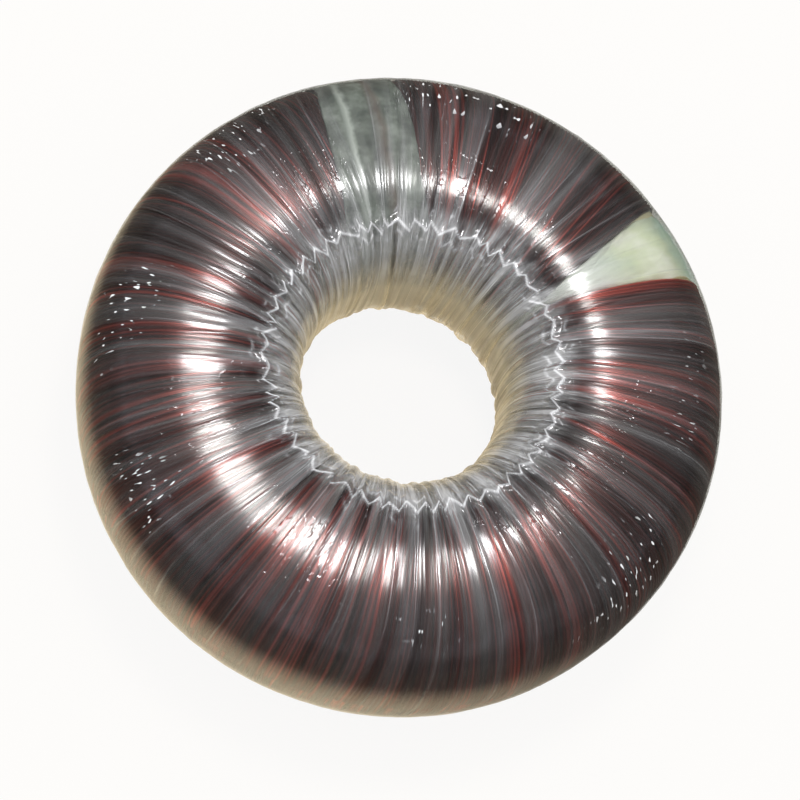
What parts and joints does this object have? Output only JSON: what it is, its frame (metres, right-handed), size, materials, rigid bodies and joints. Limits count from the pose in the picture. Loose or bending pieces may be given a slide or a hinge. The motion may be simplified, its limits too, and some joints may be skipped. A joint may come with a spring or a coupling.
{
  "type": "toroidal transformer",
  "caption": "Ring-shaped transformer: steel core, two enamelled copper windings and a clear film wrap, with a plain centre hole for a clamp bolt.",
  "frame": {"origin": "on the ring's axis, in the plane that the transformer rests on", "axes": "+Z along the ring's axis, upwards; +X and +Y radial, with the window in the secondary 55.5 degrees round from +X towards +Y"},
  "size_m": [0.12, 0.12, 0.047],
  "materials": {
    "clear_film": "glossy, clear, very slightly green",
    "enamelled_copper": "glossy dark red enamel",
    "milky_film": "folded film, translucent",
    "insulating_board": "matt",
    "core_steel": "strip edges, satin"
  },
  "bodies": {
    "root": {"steel_core": "core_steel", "core_cap_bottom": "insulating_board", "core_cap_top": "insulating_board", "outer_liner": "insulating_board", "inner_liner": "insulating_board", "core_wrap": "clear_film", "primary_winding": "enamelled_copper", "primary_wrap": "clear_film", "secondary_winding": "enamelled_copper", "window_pad": "milky_film", "joint_patch": "milky_film", "first_film_wrap": "clear_film", "second_film_wrap": "clear_film"}
  },
  "joints": []
}
